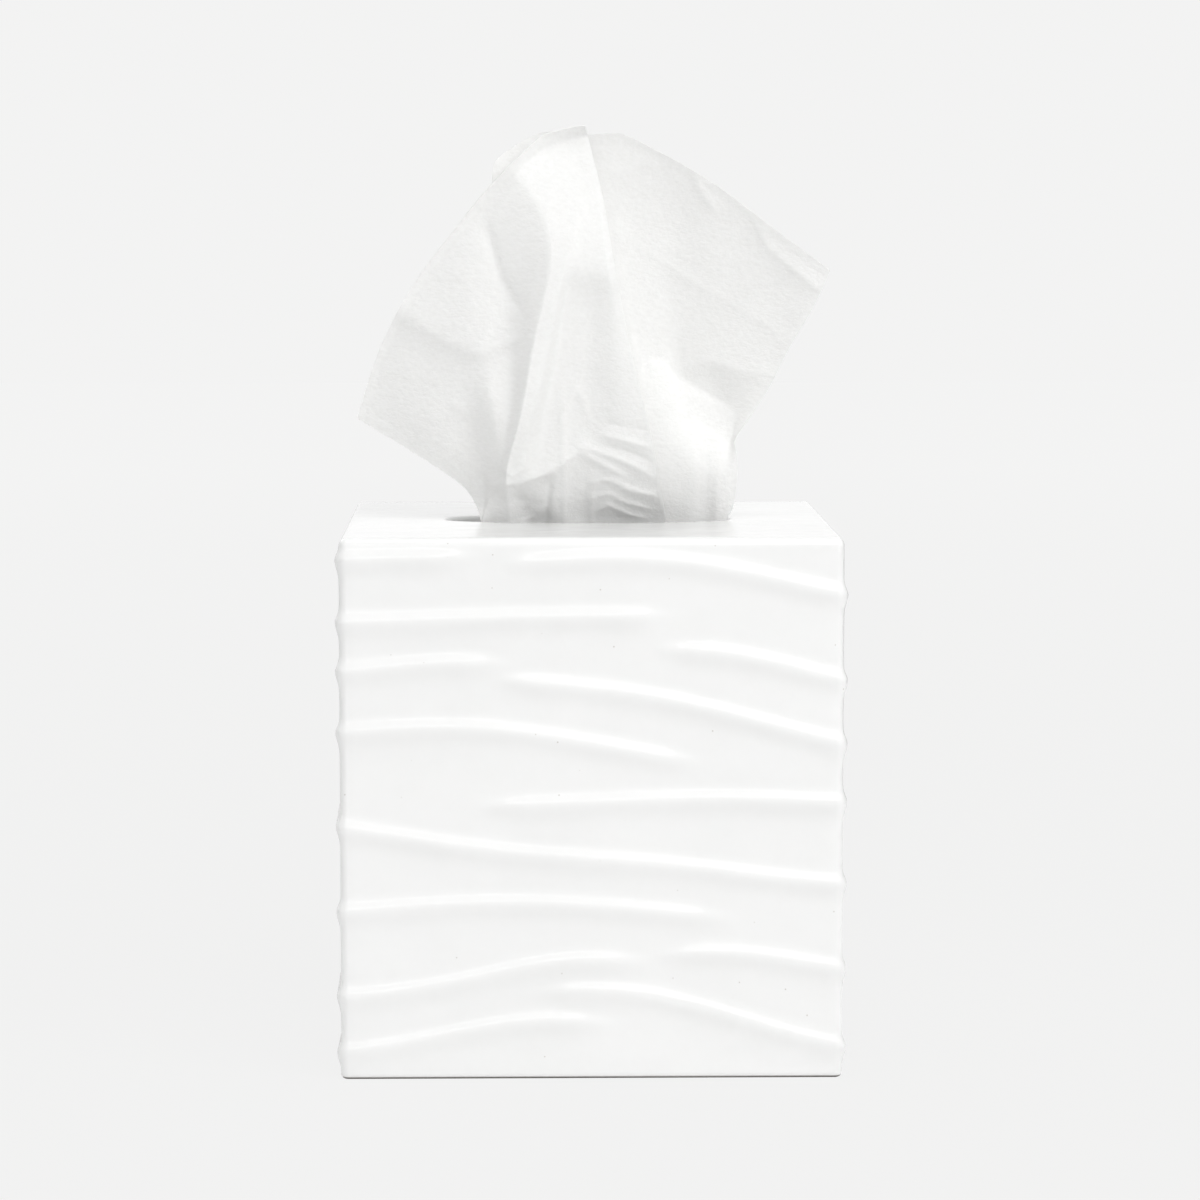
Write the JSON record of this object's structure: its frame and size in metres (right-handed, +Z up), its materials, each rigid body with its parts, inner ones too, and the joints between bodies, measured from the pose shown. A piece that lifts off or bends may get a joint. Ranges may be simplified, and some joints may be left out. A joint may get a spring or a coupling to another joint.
{
  "type": "tissue box holder",
  "caption": "Square glazed ceramic cover with rippled walls and an oval mouth, over a carton of tissues with one sheet drawn up.",
  "frame": {"origin": "middle of the cover's open foot, on the surface that it stands on", "axes": "+Z up through the mouth, the front wall faces -Y, and the oval mouth is long along X"},
  "size_m": [0.1362, 0.1362, 0.2542],
  "materials": {
    "glaze": "glossy",
    "board": "matte",
    "film": "glossy",
    "pack": "matte",
    "tissue": "matte"
  },
  "bodies": {
    "root": {"holder": "glaze", "carton": "board", "slit_film": "film", "tissue_stack": "pack", "raised_tissue": "tissue"}
  },
  "joints": []
}
